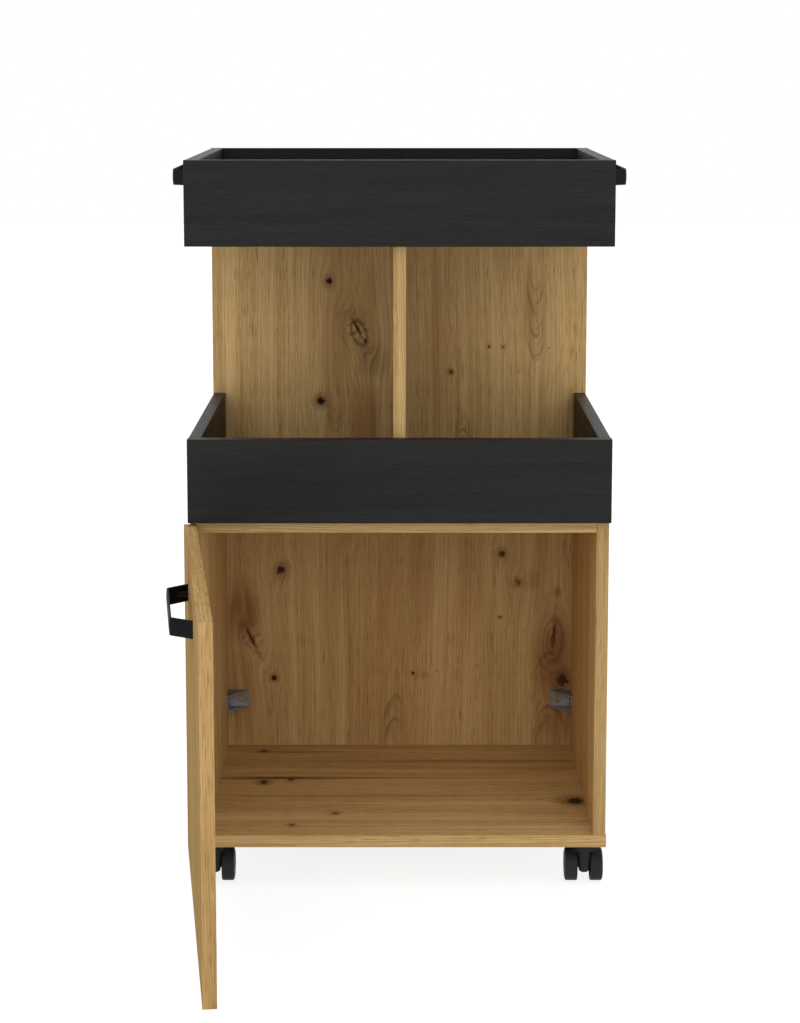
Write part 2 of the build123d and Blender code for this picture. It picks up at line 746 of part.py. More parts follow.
# Castors
stem_low = cabinet_low - stem_reach
plate_low = cabinet_low - castor_plate_thickness
hood_top = 2 * wheel_radius + hood_clearance + hood_thickness
hood_low = hood_top - hood_thickness
race_top = plate_low - swivel_gap
web_half = web_thickness / 2
wheel_out = castor_width / 2
wheel_in = wheel_gap / 2
axle_half = wheel_out - axle_end_cover

with BuildPart() as castor_plates:
    for x, y, trail_way in castors.values():
        with BuildSketch(Plane.XY.offset(plate_low)):
            with Locations((x, y)):
                RectangleRounded(castor_plate, castor_plate, castor_plate_corner)
                Circle(stem_radius + fastener_gap, mode=Mode.SUBTRACT)
        extrude(amount=castor_plate_thickness)
    plate_holes = [(x, y, plate_low) for x, y, z in castor_screw_places]
    sink(plate_holes, down, castor_screw, castor_plate_thickness)
save(castor_plates, "castor_plates")

with BuildPart() as castor_screws:
    seats = [(x, y, plate_low + castor_screw.head_height) for x, y, z in castor_screw_places]
    screws(seats, down, castor_screw)
save(castor_screws, "castor_screws")

with BuildPart() as castor_stems:
    for x, y, trail_way in castors.values():
        with BuildSketch(Plane.XY.offset(stem_low)):
            with Locations((x, y)):
                Circle(stem_radius)
        extrude(amount=stem_reach)
save(castor_stems, "castor_stems")

hood_out = wheel_radius + hood_clearance + hood_thickness
hood_in = wheel_radius + hood_clearance
for castor_name, (x, y, trail_way) in castors.items():
    axle_y = y + trail_way * castor_trail
    side_view = Plane(origin=(x, axle_y, wheel_radius), x_dir=(0, trail_way, 0),
                      z_dir=(trail_way, 0, 0))
    front_view = Plane(origin=(x, axle_y, 0), x_dir=right, z_dir=forward)
    front_end = -castor_trail - hood_front_reach
    with BuildPart() as castor_body:
        # Hood: flat over the stem, then round the back of the wheels
        with BuildSketch(side_view):
            with BuildLine():
                Line((hood_in, -hood_skirt), (hood_out, -hood_skirt))
                Line((hood_out, -hood_skirt), (hood_out, 0))
                JernArc((hood_out, 0), (0, 1), hood_out, 90)
                Line((0, hood_out), (front_end, hood_out))
                Line((front_end, hood_out), (front_end, hood_in))
                Line((front_end, hood_in), (0, hood_in))
                JernArc((hood_in, 0), (0, 1), hood_in, 90)
                Line((hood_in, 0), (hood_in, -hood_skirt))
            make_face()
        extrude(amount=hood_width / 2, both=True)
        with BuildSketch(front_view):
            with BuildLine():
                half = hood_width / 2
                Polyline((half, hood_top - hood_crown), (half, 0), (-half, 0),
                         (-half, hood_top - hood_crown))
                ThreePointArc((-half, hood_top - hood_crown), (0, hood_top),
                              (half, hood_top - hood_crown))
            make_face()
        extrude(amount=2 * hood_out, both=True, mode=Mode.INTERSECT)
        # Seen from above, the hood's front edge is swept back to both sides
        with BuildSketch(Plane(origin=(x, axle_y, hood_low), x_dir=(0, trail_way, 0),
                               z_dir=(0, 0, trail_way))):
            with BuildLine():
                sides_end = front_end + hood_front_sweep
                Polyline((sides_end, half), (hood_out, half), (hood_out, -half), (sides_end, -half))
                ThreePointArc((sides_end, -half), (front_end, 0), (sides_end, half))
            make_face()
        extrude(amount=2 * hood_out, both=True, mode=Mode.INTERSECT)
        # Post round the stem, the neck and race above it, and the web from it to the axle
        with BuildSketch(Plane.XY.offset(hood_low)):
            with Locations((x, y)):
                Circle(post_radius)
        extrude(amount=post_foot_height - hood_low, taper=post_taper)
        fillet(edges().filter_by(GeomType.CIRCLE).group_by(Axis.Z)[0], post_foot_round)
        with BuildSketch(Plane.XY.offset(hood_low)):
            with Locations((x, y)):
                Circle(swivel_neck_radius)
        extrude(amount=race_top - hood_low)
        with BuildSketch(Plane.XY.offset(race_top)):
            with Locations((x, y)):
                Circle(swivel_race_radius)
        extrude(amount=-swivel_race_thickness)
        with BuildSketch(side_view):
            Circle(web_radius)
            with Locations(((web_radius - castor_trail) / 2, hood_in / 2)):
                Rectangle(web_radius + castor_trail, hood_in)
        extrude(amount=web_half, both=True)
        drill([(x, y, race_top)], up, stem_radius + running_gap, race_top - stem_low + seat_gap)
        drill([(x + web_half, axle_y, wheel_radius)], right, axle_radius + running_gap,
              web_thickness + cut_overrun)
    save(castor_body, f"{castor_name}_castor_body")

    with BuildPart() as castor_axle:
        with BuildSketch(Plane(origin=(x - axle_half, axle_y, wheel_radius), z_dir=right)):
            Circle(axle_radius)
        extrude(amount=2 * axle_half)
    save(castor_axle, f"{castor_name}_castor_axle")

    for wheel_side, s in sides.items():
        section = Plane(origin=(x, axle_y, wheel_radius), x_dir=(s, 0, 0), z_dir=(0, -s, 0))
        with BuildPart() as wheel:
            with BuildSketch(section):
                with BuildLine():
                    bore = axle_radius + running_gap
                    bore_end = axle_half + seat_gap
                    hub_in = web_half + seat_gap
                    recess = wheel_in + wheel_recess_depth
                    shoulder = wheel_out - wheel_dome
                    Polyline(
                        (bore_end, 0), (bore_end, bore), (hub_in, bore), (hub_in, wheel_hub_radius),
                        (recess, wheel_hub_radius), (recess, wheel_recess_radius),
                        (wheel_in, wheel_recess_radius), (wheel_in, wheel_radius - tyre_round),
                    )
                    ThreePointArc(
                        (wheel_in, wheel_radius - tyre_round),
                        (wheel_in + tyre_round * (1 - sin(radians(45))),
                         wheel_radius - tyre_round * (1 - sin(radians(45)))),
                        (wheel_in + tyre_round, wheel_radius),
                    )
                    Line((wheel_in + tyre_round, wheel_radius), (shoulder, wheel_radius))
                    RadiusArc((shoulder, wheel_radius), (wheel_out, wheel_cap_radius), wheel_radius / 2)
                    Polyline((wheel_out, wheel_cap_radius), (wheel_out, 0), (bore_end, 0))
                make_face()
            revolve(axis=Axis((x, axle_y, wheel_radius), (1, 0, 0)))
        save(wheel, f"{castor_name}_castor_{wheel_side}_wheel")
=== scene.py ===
"""Looks of the serving cart: wood-grain boards, black trays, strap handles and castors."""

import json
import math

import bmesh
import bpy
from mathutils import Matrix, Vector

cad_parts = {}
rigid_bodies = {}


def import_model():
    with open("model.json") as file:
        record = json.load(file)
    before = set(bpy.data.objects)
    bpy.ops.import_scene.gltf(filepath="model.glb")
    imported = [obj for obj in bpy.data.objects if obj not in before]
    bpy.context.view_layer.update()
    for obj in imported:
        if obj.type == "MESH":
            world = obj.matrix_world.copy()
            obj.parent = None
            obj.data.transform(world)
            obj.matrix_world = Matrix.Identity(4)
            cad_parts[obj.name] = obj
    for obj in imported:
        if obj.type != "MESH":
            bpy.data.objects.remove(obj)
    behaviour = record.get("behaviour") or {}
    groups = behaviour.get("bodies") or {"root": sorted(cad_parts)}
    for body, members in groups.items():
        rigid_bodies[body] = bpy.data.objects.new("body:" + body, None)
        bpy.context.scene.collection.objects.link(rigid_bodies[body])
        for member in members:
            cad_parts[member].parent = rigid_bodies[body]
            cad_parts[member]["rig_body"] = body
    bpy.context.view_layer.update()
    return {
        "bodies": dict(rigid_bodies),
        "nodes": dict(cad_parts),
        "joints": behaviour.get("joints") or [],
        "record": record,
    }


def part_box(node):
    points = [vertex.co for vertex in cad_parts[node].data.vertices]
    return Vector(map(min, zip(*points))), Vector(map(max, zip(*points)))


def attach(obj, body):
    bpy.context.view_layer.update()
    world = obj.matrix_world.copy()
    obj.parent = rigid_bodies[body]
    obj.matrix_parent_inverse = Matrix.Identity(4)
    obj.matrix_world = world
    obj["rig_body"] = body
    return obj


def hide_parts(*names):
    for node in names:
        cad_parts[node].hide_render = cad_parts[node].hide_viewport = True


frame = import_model()
nodes = frame["nodes"]

MM = 0.001
# Corners closer than the first are one corner, and the second is for cuts
WELD = 0.005 * MM
TOUCH = 0.001 * MM
# Edges between faces that meet at less than this are shaded smooth, in degrees
SMOOTH_BELOW = 35
SMOOTH_BELOW_ON_SCREWS = 30


def srgb(red, green, blue):
    """A colour read off a screen, from 0 to 255, as linear light."""
    parts = [c / 255 for c in (red, green, blue)]
    return tuple(c / 12.92 if c < 0.04045 else ((c + 0.055) / 1.055) ** 2.4 for c in parts)


class Value:
    """A number in a shader: arithmetic on it adds Math nodes."""

    def __init__(self, finish, socket):
        self.finish = finish
        self.socket = socket

    def math(self, operation, *others):
        return self.finish.node("ShaderNodeMath", {"operation": operation}, self, *others)

    def __add__(self, other):
        return self.math("ADD", other)

    def __sub__(self, other):
        return self.math("SUBTRACT", other)

    def __mul__(self, other):
        return self.math("MULTIPLY", other)

    def __truediv__(self, other):
        return self.math("DIVIDE", other)

    def __radd__(self, other):
        return self.math("ADD", other)

    def __rsub__(self, other):
        return self.finish.node("ShaderNodeMath", {"operation": "SUBTRACT"}, other, self)

    def __abs__(self):
        return self.math("ABSOLUTE")

    def at_least(self, other):
        return self.math("MAXIMUM", other)

    def at_most(self, other):
        return self.math("MINIMUM", other)

    def root(self):
        return self.math("SQRT")

    def ramp(self, low, high):
        """0 up to low, 1 from high on, smooth between; low may be the higher of the two."""
        kind = {"interpolation_type": "SMOOTHSTEP"}
        ends = sorted((low, high))
        step = self.finish.node("ShaderNodeMapRange", kind, self, *ends)
        return step if low < high else 1 - step


class Shading:
    """A tree of shader nodes, with the few calls that the surfaces and the room need."""

    def __init__(self, tree):
        self.tree = tree
        self.coordinates = tree.nodes.new("ShaderNodeTexCoord")

    def read(self, node, output):
        return Value(self, node.outputs[output])

    def node(self, kind, settings, *values, out=0, named=None):
        """Adds a node, sets it up, fills its sockets in order or by name, and returns an output."""
        made = self.tree.nodes.new(kind)
        for key, value in settings.items():
            setattr(made, key, value)
        sockets = dict(enumerate(values))
        sockets.update(named or {})
        for key, value in sockets.items():
            if isinstance(value, Value):
                self.tree.links.new(value.socket, made.inputs[key])
            elif value is not None:
                made.inputs[key].default_value = value
        return Value(self, made.outputs[out])

    def rays(self, *kinds):
        """1 where a place is seen by a ray of one of these kinds."""
        path = self.tree.nodes.new("ShaderNodeLightPath")
        seen = [self.read(path, f"Is {kind} Ray") for kind in kinds]
        return sum(seen[1:], seen[0]).at_most(1.0)

    def place(self, turn=0.0, about=(0, 0, 0)):
        """Object coordinates, turned back about +Z for a board that stands turned at rest."""
        point = self.read(self.coordinates, "Object")
        if turn:
            moved = self.node("ShaderNodeVectorMath", {"operation": "SUBTRACT"}, point, about)
            kind = {"rotation_type": "Z_AXIS"}
            point = self.node("ShaderNodeVectorRotate", kind, moved, named={"Angle": turn})
        return point

    def split(self, point):
        """The three numbers of a point."""
        parts = self.tree.nodes.new("ShaderNodeSeparateXYZ")
        self.tree.links.new(point.socket, parts.inputs[0])
        return [Value(self, parts.outputs[i]) for i in range(3)]

    def facing(self, axis):
        """How far the surface faces along an axis: 1 where it faces that way, -1 where away."""
        return self.split(self.read(self.coordinates, "Normal"))["XYZ".index(axis)]

    def zero(self):
        return self.node("ShaderNodeValue", {})

    def point(self, *parts):
        return self.node("ShaderNodeCombineXYZ", {}, *parts)

    def noise(self, *parts, detail=2.0, rough=0.5):
        """Fractal noise, from 0 to 1, at a point given by three numbers."""
        return self.node(
            "ShaderNodeTexNoise", {"noise_dimensions": "3D"}, self.point(*parts),
            named={"Scale": 1.0, "Detail": detail, "Roughness": rough},
        )

    def layers(self, flow, along, table):
        """Noise drawn out along the grain, one for each row of a table of layers."""
        return [
            self.noise(flow * wide, along * far, pattern, detail=detail, rough=rough)
            for wide, far, pattern, detail, rough in table
        ]

    def mix(self, share, first, second):
        """A colour between two colours."""
        kind = {"data_type": "RGBA", "blend_type": "MIX", "clamp_factor": True}
        first, second = (c if isinstance(c, Value) else (*c, 1.0) for c in (first, second))
        # A mix node has sockets for each kind of value: 6, 7 and output 2 are the colours
        return self.node("ShaderNodeMix", kind, out=2, named={0: share, 6: first, 7: second})

    def bump(self, height, strength, distance):
        """Relief that is only in the shading: distance is its depth in metres."""
        sockets = {"Strength": strength, "Distance": distance, "Height": height}
        return self.node("ShaderNodeBump", {}, named=sockets)


class Finish(Shading):
    """A material of its own, with one shader."""

    def __init__(self, name):
        self.material = bpy.data.materials.new(name)
        self.material.use_nodes = True
        super().__init__(self.material.node_tree)
        self.shader = self.tree.nodes["Principled BSDF"]

    def set(self, **sockets):
        """Fills the shader's sockets: base_color is Base Color, and so on."""
        for key, value in sockets.items():
            socket = self.shader.inputs[key.replace("_", " ").title().replace("Ior", "IOR")]
            if isinstance(value, Value):
                self.tree.links.new(value.socket, socket)
            elif isinstance(value, tuple):
                socket.default_value = (*value, 1.0)
            else:
                socket.default_value = value
        return self.material


# How far a board's seed moves its grain sideways, for each unit along
SEED_ACROSS = 0.37
# How far the grain wanders sideways, in metres
SWAY = 0.03


def grain_of(finish, grain, seed, turn, about):
    """Along and across coordinates of a board. Grain names the axis that it runs along, and
    the axis that it follows on the board's end faces."""
    axes = dict(zip("XYZ", finish.split(finish.place(turn, about))))
    along, wide = axes.pop(grain[0]), axes.pop(grain[1])
    thick = axes.popitem()[1]
    is_end = abs(finish.facing(grain[0])).ramp(0.6, 0.8)
    new_along = along + (wide - along) * is_end
    new_across = wide + thick + (along - wide) * is_end
    return new_along + seed, new_across + seed * SEED_ACROSS


# Colours of the oak boards: the ground and its bands, then what stands on it
LIGHT_BAND, MIDDLE_BAND, DEEP_LINE = srgb(200, 169, 117), srgb(184, 151, 99), srgb(143, 108, 61)
BROWN_BAND, RUSSET_PATCH = srgb(160, 122, 76), srgb(142, 100, 62)
PORE, ARCH, HALO = srgb(104, 72, 38), srgb(122, 84, 46), srgb(112, 74, 38)
RING, HEART = srgb(92, 58, 32), srgb(34, 21, 14)
# Painted shade, for edges that look to the front or back and for the back panel low in the cabinet
PAINTED_EDGE_DARK, PAINTED_CABINET_SHADE = (0.05, 0.03, 0.01), srgb(92, 58, 18)
FLECK_LIFT = 1.15
# A knot this dark turns the grain aside
TURNS_GRAIN = 0.3
# Waves a metre in the ovals round a knot and in the nested arches
OVAL_WAVES, ARCH_WAVES = 240.0, 95.0

# Layers of the grain: waves a metre across the grain and along it, which pattern, and the
# noise's detail and roughness
OAK_LAYERS = (
    (42.0, 1.1, 7.7, 3.0, 0.6),  # bands
    (500.0, 3.0, 1.3, 2.0, 0.6),  # lines
    (900.0, 14.0, 6.3, 2.0, 0.6),  # fibre
    (120.0, 1.4, 5.9, 3.0, 0.65),  # streaks
    (1100.0, 38.0, 2.2, 1.0, 0.5),  # pores
    (17.0, 1.7, 4.4, 2.0, 0.5),  # brown bands
    (620.0, 26.0, 8.8, 1.0, 0.5),  # flecks
)


class Figure:
    """What stands on a board's straight grain. Each part of it is a share of a colour, from 0
    to 1. Every row begins with a place along and across the grain and a half width."""

    def __init__(self, finish, along, across, seed):
        self.finish, self.along, self.across, self.seed = finish, along, across, seed
        self.sway = finish.noise(across * 5.0, along * 1.6, 3.1, detail=1.0) - 0.5
        self.ragged = finish.noise(along * 210, across * 300, 1.7, detail=2.0) - 0.5
        self.flow = across + self.sway * SWAY
        parts = [finish.zero() for part in range(5)]
        self.heart, self.halo, self.ovals, self.arches, self.patch = parts

    def from_place(self, u, v):
        """How far a point lies from a place, along the grain and across it."""
        return self.along - (u + self.seed), self.across - (v + self.seed * SEED_ACROSS)

    def from_oval(self, u, v, length, lean):
        """How far a point lies from an oval's middle, and how far across its long axis. Length
        is for the oval's width, and lean is in degrees."""
        up, side = self.from_place(u, v)
        cosine, sine = math.cos(math.radians(lean)), math.sin(math.radians(lean))
        endwise = (up * cosine + side * sine) / length
        sidewise = side * cosine - up * sine
        return (endwise * endwise + sidewise * sidewise).root(), sidewise

    def knot(self, u, v, radius, length, lean, dark, stain):
        """A knot with a heart and a halo, each so dark; the grain flows round a dark one."""
        reach, sidewise = self.from_oval(u, v, length, lean)
        if dark > TURNS_GRAIN:
            pull = sidewise * (radius * radius * 1.5)
            self.flow = self.flow - pull / (reach * reach).at_least((0.7 * radius) ** 2)
        if dark:
            core = (reach + self.ragged * radius).ramp(radius * 0.8, radius * 0.45)
            self.heart = (core * dark).at_least(self.heart)
        self.halo = (reach.ramp(radius * 2.4, radius * 0.4) * stain).at_least(self.halo)

    def ring(self, u, v, radius, length, lean):
        """The ragged ovals round a big knot."""
        reach, sidewise = self.from_oval(u, v, length, lean)
        band = reach * OVAL_WAVES + self.ragged * 0.9
        noise = self.finish.noise(band, sidewise * 9.0, v * 19 + u * 23, detail=2.0, rough=0.6)
        cover = noise.ramp(0.44, 0.6) * reach.ramp(radius, radius * 0.6)
        self.ovals = cover.at_least(self.ovals)
        pull = sidewise * (radius * radius)
        self.flow = self.flow - pull / (reach * reach).at_least(radius ** 2)

    def tint(self, u, v, radius, length, share):
        """A long brown patch."""
        reach = self.from_oval(u, v, length, 0)[0]
        cover = (reach + self.sway * radius * 1.5).ramp(radius * 1.15, radius * 0.3)
        self.patch = (cover * share).at_least(self.patch)

    def flame(self, u, v, half, height, steep):
        """A row of nested arches, so steep, with its tip at the place. A negative height turns
        it over."""
        up, side = self.from_place(u, v)
        way = 1 if height > 0 else -1
        climb = up - side * side * steep * way
        place = climb * ARCH_WAVES, side * 26.0, v * 31 + u * 17
        noise = self.finish.noise(*place, detail=2.0, rough=0.6)
        inside = abs(side + self.ragged * 0.004).ramp(half, half * 0.55)
        inside = inside * (climb * way).ramp(abs(height), abs(height) * 0.5)
        inside = inside * (climb * way).ramp(-0.002, 0.002)
        self.arches = (noise.ramp(0.48, 0.66) * inside).at_least(self.arches)
        self.halo = (inside * 0.16).at_least(self.halo)


# The edge shade is how much the faces that look to the front or back are darkened: painted shade.
# The shade below is a level, the place of the front face, and how much that face is darkened below
# the level: painted shade for the inside of the cabinet.
def oak(name, grain, seed, turn=0.0, about=(0, 0, 0), knots=(), flames=(), rings=(), tints=(),
        tone=1.0, painted_edge_shade=0.0, painted_shade_below=None, sheen=0.12):
    """Knotty oak board: fine straight lines and brown bands, with a figure on them."""
    finish = Finish(name)
    along, across = grain_of(finish, grain, seed, turn, about)
    figure = Figure(finish, along, across, seed)
    for draw, rows in (
        (figure.knot, knots), (figure.ring, rings), (figure.tint, tints), (figure.flame, flames),
    ):
        for row in rows:
            draw(*row)
    layers = finish.layers(figure.flow, along, OAK_LAYERS)
    bands, lines, fibre, streaks, pores, browns, flecks = layers
    pores = pores.ramp(0.58, 0.7) * bands.ramp(0.25, 0.6)
    patch = figure.patch * (0.4 + streaks.ramp(0.3, 0.62) * 0.7)
    halo = figure.halo * (0.45 + lines.ramp(0.3, 0.6) * 0.6)

    def toned(colour, lift=1.0):
        return tuple(c * tone * lift for c in colour)

    colour = finish.mix(bands.ramp(0.3, 0.7), toned(LIGHT_BAND), toned(MIDDLE_BAND))
    for share, other in (
        (browns.ramp(0.5, 0.66) * 0.42, toned(BROWN_BAND)),
        (lines.ramp(0.42, 0.62) * 0.36, toned(DEEP_LINE)),
        (fibre.ramp(0.46, 0.66) * 0.3, toned(DEEP_LINE)),
        (streaks.ramp(0.54, 0.7) * 0.3, toned(DEEP_LINE)),
        (flecks.ramp(0.6, 0.74) * 0.3, toned(LIGHT_BAND, FLECK_LIFT)),
        (pores * 0.55, PORE),
        (patch, toned(RUSSET_PATCH)),
        (figure.arches * 0.55, ARCH),
        (halo, HALO),
        (figure.ovals * 0.68, RING),
        (figure.heart, HEART),
    ):
        colour = finish.mix(share, colour, other)
    # Painted shade: the faces that look to the front or back are darkened against the rest of the
    # board
    if painted_edge_shade:
        colour = finish.mix(abs(finish.facing("Y")).ramp(0.6, 0.8) * painted_edge_shade, colour, PAINTED_EDGE_DARK)
    # Painted shade: below a level, the back panel's front face is darkened where the cabinet's
    # inside lies in shade
    if painted_shade_below:
        top, face, share = painted_shade_below
        inside = finish.split(finish.place())[1].ramp(face + 2 * MM, face + MM)
        inside = inside * (along - seed).ramp(top + 20 * MM, top - 20 * MM)
        colour = finish.mix(inside * share, colour, PAINTED_CABINET_SHADE)
    relief = lines * 0.4 + (1 - pores) * 0.6
    return finish.set(
        base_color=colour,
        roughness=0.5 + pores * 0.14 + bands * 0.06,
        specular_ior_level=sheen,
        normal=finish.bump(relief, 0.25, 0.00025),
    )


GRAIN_BLACKS = srgb(23, 23, 23), srgb(15, 15, 14), srgb(6, 6, 5)
BLACK_LAYERS = (
    (60.0, 1.8, 7.1, 3.0, 0.5),  # bands
    (620.0, 9.0, 1.9, 3.0, 0.6),  # lines
    (1700.0, 70.0, 2.6, 1.0, 0.5),  # pores
)


def black_oak(name, grain, seed):
    """Black wood-grain board: dark all over, with a fine pressed grain."""
    finish = Finish(name)
    along, across = grain_of(finish, grain, seed, 0.0, (0, 0, 0))
    sway = finish.noise(across * 9.0, along * 2.4, 3.3, detail=1.0) - 0.5
    flow = across + sway * SWAY
    bands, lines, pores = finish.layers(flow, along, BLACK_LAYERS)
    pores = pores.ramp(0.55, 0.7)
    raised, worn, sunk = GRAIN_BLACKS
    colour = finish.mix(bands.ramp(0.3, 0.7), raised, worn)
    colour = finish.mix(lines.ramp(0.48, 0.64) * 0.8, colour, sunk)
    colour = finish.mix(pores * 0.4, colour, sunk)
    return finish.set(
        base_color=colour,
        roughness=0.42 + pores * 0.15 + bands * 0.08,
        specular_ior_level=0.26,
        normal=finish.bump(lines * 0.6 + (1 - pores) * 0.4, 0.5, 0.0003),
    )


def moulded_black(name, shade, rough=0.5, sheen=0.12):
    """Black plastic or powder coat with a fine skin; shade is its grey on a screen."""
    finish = Finish(name)
    x, y, z = finish.split(finish.place())
    skin = finish.noise(x * 900, y * 900, z * 900, detail=3.0, rough=0.7)
    cloud = finish.noise(x * 35, y * 35, z * 35, detail=2.0)
    colour = finish.mix(cloud.ramp(0.3, 0.7), srgb(*[shade] * 3), srgb(*[shade + 4] * 3))
    return finish.set(
        base_color=colour, roughness=rough + cloud * 0.12, specular_ior_level=sheen,
        normal=finish.bump(skin, 0.25, 0.0001),
    )


def plated(name, colour, rough, metal=1.0):
    """Plated steel with faint rolling marks and stains."""
    finish = Finish(name)
    x, y, z = finish.split(finish.place())
    cloud = finish.noise(x * 120, y * 120, z * 120, detail=3.0)
    marks = finish.noise(x * 500, y * 500, z * 2600, detail=2.0)
    tint = finish.mix(cloud.ramp(0.25, 0.75), colour, tuple(c * 0.8 for c in colour))
    return finish.set(
        base_color=tint, metallic=metal, roughness=rough + marks * 0.12 + cloud * 0.06,
        normal=finish.bump(marks, 0.15, 0.00008),
    )


def ring_of(shape, points):
    """A closed outline of points, as one face."""
    return shape.faces.new([shape.verts.new(p) for p in points])


def carry(shape, face, step):
    """Draws a face on by a straight step, and returns the face at the end."""
    made = bmesh.ops.extrude_face_region(shape, geom=[face])["geom"]
    bmesh.ops.delete(shape, geom=[face], context="FACES_ONLY")
    moved = [v for v in made if isinstance(v, bmesh.types.BMVert)]
    bmesh.ops.translate(shape, verts=moved, vec=step)
    return next(f for f in made if isinstance(f, bmesh.types.BMFace))


def bend(shape, face, centre, axis, angle, steps):
    """Draws a face round a centre, and returns the face at the end."""
    around = [*face.verts, *face.edges, face]
    made = bmesh.ops.spin(
        shape, geom=around, cent=centre, axis=axis, dvec=(0, 0, 0), angle=angle, steps=steps,
        use_merge=False, use_duplicate=False,
    )["geom_last"]
    return next(f for f in made if isinstance(f, bmesh.types.BMFace))


def turned(shape, outline, axis_at, steps):
    """A lathe shape: an outline of (out from the axis, along X) turned round an X axis."""
    verts = [shape.verts.new((axis_at[0] + x, axis_at[1], axis_at[2] + r)) for r, x in outline]
    edges = [shape.edges.new(pair) for pair in zip(verts, verts[1:] + verts[:1])]
    bmesh.ops.spin(
        shape, geom=verts + edges, cent=axis_at, axis=(1, 0, 0), dvec=(0, 0, 0),
        angle=2 * math.pi, steps=steps, use_merge=True, use_duplicate=False,
    )


def cut_off(shape, at, beyond):
    """Cuts away what lies beyond a plane, and closes the cut."""
    whole = [*shape.verts, *shape.edges, *shape.faces]
    cut = bmesh.ops.bisect_plane(
        shape, geom=whole, dist=TOUCH, plane_co=at, plane_no=beyond, clear_outer=True,
    )["geom_cut"]
    bmesh.ops.edgeloop_fill(shape, edges=[e for e in cut if isinstance(e, bmesh.types.BMEdge)])


def as_object(name, shape, material):
    """Turns a mesh under work into an object with one material."""
    mesh = bpy.data.meshes.new(name)
    shape.to_mesh(mesh)
    shape.free()
    mesh.materials.append(material)
    piece = bpy.data.objects.new(name, mesh)
    bpy.context.scene.collection.objects.link(piece)
    return piece


def finished(name, shape, material, body, slot, *stands_for, smooth_below=SMOOTH_BELOW):
    """Cleans a mesh and makes it a piece that rides on a body and stands for CAD nodes."""
    bmesh.ops.remove_doubles(shape, verts=shape.verts, dist=WELD)
    bmesh.ops.recalc_face_normals(shape, faces=shape.faces)
    piece = as_object(name, shape, material)
    for face in piece.data.polygons:
        face.use_smooth = True
    piece.data.set_sharp_from_angle(angle=math.radians(smooth_below))
    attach(piece, body)
    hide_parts(*stands_for)
    return piece


def dress(name, material):
    """Gives a carried-over node its finish."""
    piece = nodes[name]
    piece.data.materials.clear()
    piece.data.materials.append(material)


# Where the door's hinge pins stand, how far it is turned at rest, and its own directions
pin_low, pin_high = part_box("hinge_pins")
pin = (pin_low + pin_high) / 2
DOOR_TURN = math.radians(83.2)
UP = Vector((0, 0, 1))
door_along = Vector((math.cos(DOOR_TURN), -math.sin(DOOR_TURN), 0))
door_out = Vector((-math.sin(DOOR_TURN), -math.cos(DOOR_TURN), 0))
door_frame = (door_along, door_out, UP)
cart_frame = (Vector((1, 0, 0)), Vector((0, 1, 0)), UP)

# Figure of the back panel, in millimetres: across from the middle, up from the floor, half
# width, and then what the drawing of a knot, a flame, a ring or a tint takes
back_knots = (
    (-94.1, 707.4, 5.6, 1.2, 10, 1.0, 0.8),
    (-56.2, 643.7, 2.1, 8.5, -27.6, 0.95, 0.8),
    (-46.0, 627.0, 3.4, 1.3, -25, 0.7, 0.6),
    (-52.0, 634.0, 15.0, 2.0, -20, 0.0, 0.4),
    (-75.0, 628.2, 0.9, 16.0, -29, 0.4, 0.3),
    (-38.3, 606.0, 13.0, 1.5, -15, 0.0, 0.5),
    (-105.5, 545.8, 7.2, 1.0, 40, 1.0, 0.8),
    (68.9, 585.1, 3.2, 1.0, 0, 1.0, 0.7),
    (119.7, 618.8, 2.6, 0.8, -60, 0.8, 0.4),
    (138.4, 618.8, 2.3, 1.0, 0, 0.8, 0.4),
    (200.0, 617.5, 1.4, 1.0, 0, 0.6, 0.4),
    (238.3, 536.3, 2.8, 1.0, 0, 0.9, 0.4),
    (-160.9, 314.1, 7.0, 1.2, 30, 1.0, 0.8),
    (-202.4, 220.3, 2.2, 9.0, -25.6, 0.95, 0.8),
    (-210.0, 256.0, 13.0, 1.3, 0, 0.0, 0.45),
    (-171.5, 163.6, 5.0, 1.0, 0, 1.0, 0.7),
    (138.8, 336.3, 6.0, 1.0, 0, 0.9, 0.8),
    (126.6, 339.0, 1.1, 1.0, 0, 0.7, 0.2),
    (160.8, 297.5, 5.4, 0.8, 60, 0.45, 0.7),
    (178.0, 300.0, 9.0, 1.0, 0, 0.0, 0.3),
    (213.9, 283.6, 5.0, 1.0, 0, 0.1, 0.4),
    (136.6, 248.8, 3.8, 0.6, 0, 0.7, 0.4),
    (169.4, 229.3, 1.2, 1.0, 0, 0.7, 0.2),
    (18.3, 170.6, 3.2, 1.0, 0, 1.0, 0.6),
    (222.6, 164.0, 1.3, 7.5, 4, 0.95, 0.5),
    (214.8, 161.5, 2.6, 1.4, 0, 0.9, 0.5),
    (229.0, 158.5, 3.4, 1.2, 0, 0.9, 0.6),
    (33.0, 168.0, 4.0, 1.0, 0, 0.0, 0.35),
    (51.1, 173.4, 1.6, 0.8, 0, 0.6, 0.3),
    (105.7, 180.4, 2.6, 0.7, -50, 0.3, 0.3),
    (210.0, 223.7, 1.9, 11.0, 5, 0.95, 0.7),
    (222.0, 161.0, 9.5, 1.3, 0, 0.95, 0.8),
)
back_flames = (
    (183.0, 598.0, 17.0, 130.0, 200.0),
    (85.0, 531.0, 18.0, -60.0, 150.0),
    (-86.0, 503.0, 16.0, 45.0, 120.0),
    (-6.0, 142.0, 20.0, -75.0, 120.0),
    (205.0, 204.0, 26.0, -150.0, 60.0),
    (203.0, 150.0, 21.0, 46.0, 60.0),
)
back_rings = (
    (209.0, 216.0, 17.0, 2.2, 4),
    (-201.0, 221.0, 13.0, 2.3, -24),
    (-54.0, 638.0, 14.0, 1.9, -20),
)
